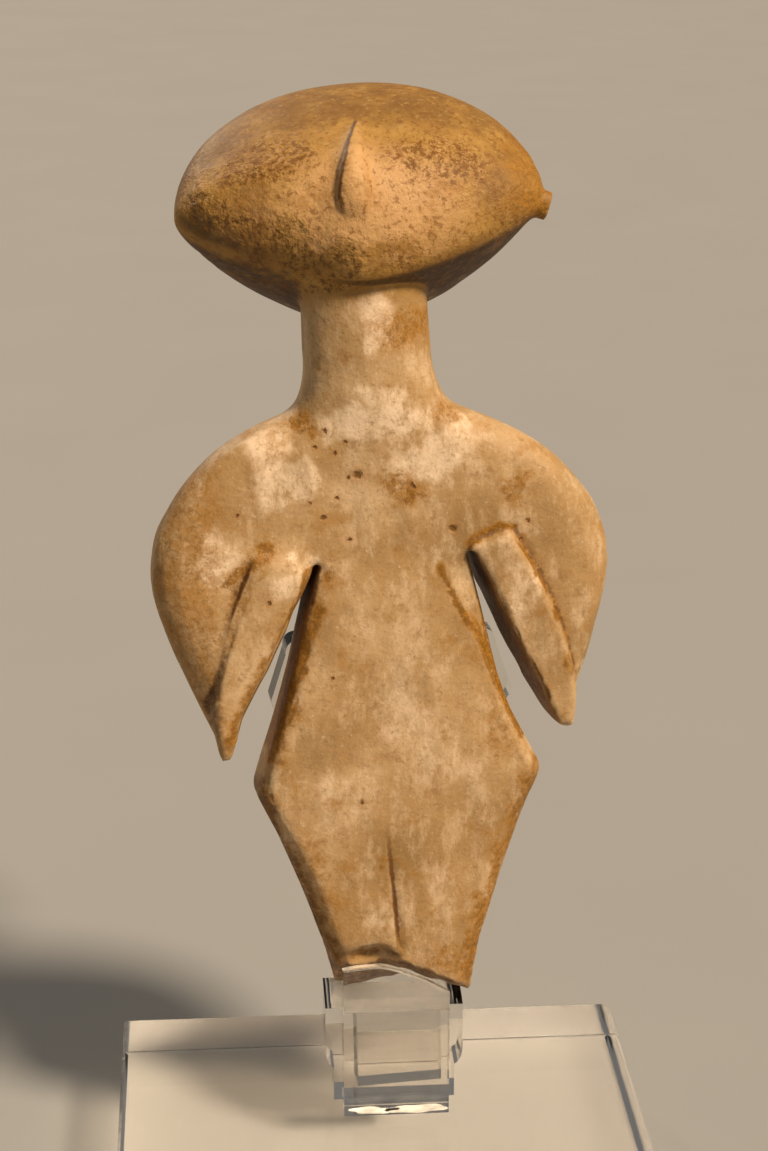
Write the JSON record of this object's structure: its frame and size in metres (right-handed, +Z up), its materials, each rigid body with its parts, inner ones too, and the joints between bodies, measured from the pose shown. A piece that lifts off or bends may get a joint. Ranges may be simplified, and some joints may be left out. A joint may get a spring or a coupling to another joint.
{
  "type": "marble figurine on a clear mount",
  "caption": "Flat carved marble idol with an upturned lens-shaped head, folded arms cut free of the body and a broken lower end, held in a clear acrylic mount.",
  "frame": {"origin": "centre of the base plate's underside", "axes": "+Z up, the figure faces -Y, +X towards the figure's left hand"},
  "size_m": [0.079, 0.0722, 0.1642],
  "materials": {
    "marble": "worn matt marble with ochre-brown stains",
    "acrylic": "clear, polished faces and bright cut edges"
  },
  "bodies": {
    "root": {"figurine": "marble", "front_lip": "acrylic", "seat_block": "acrylic", "back_rest": "acrylic", "base_plate": "acrylic"}
  },
  "joints": []
}
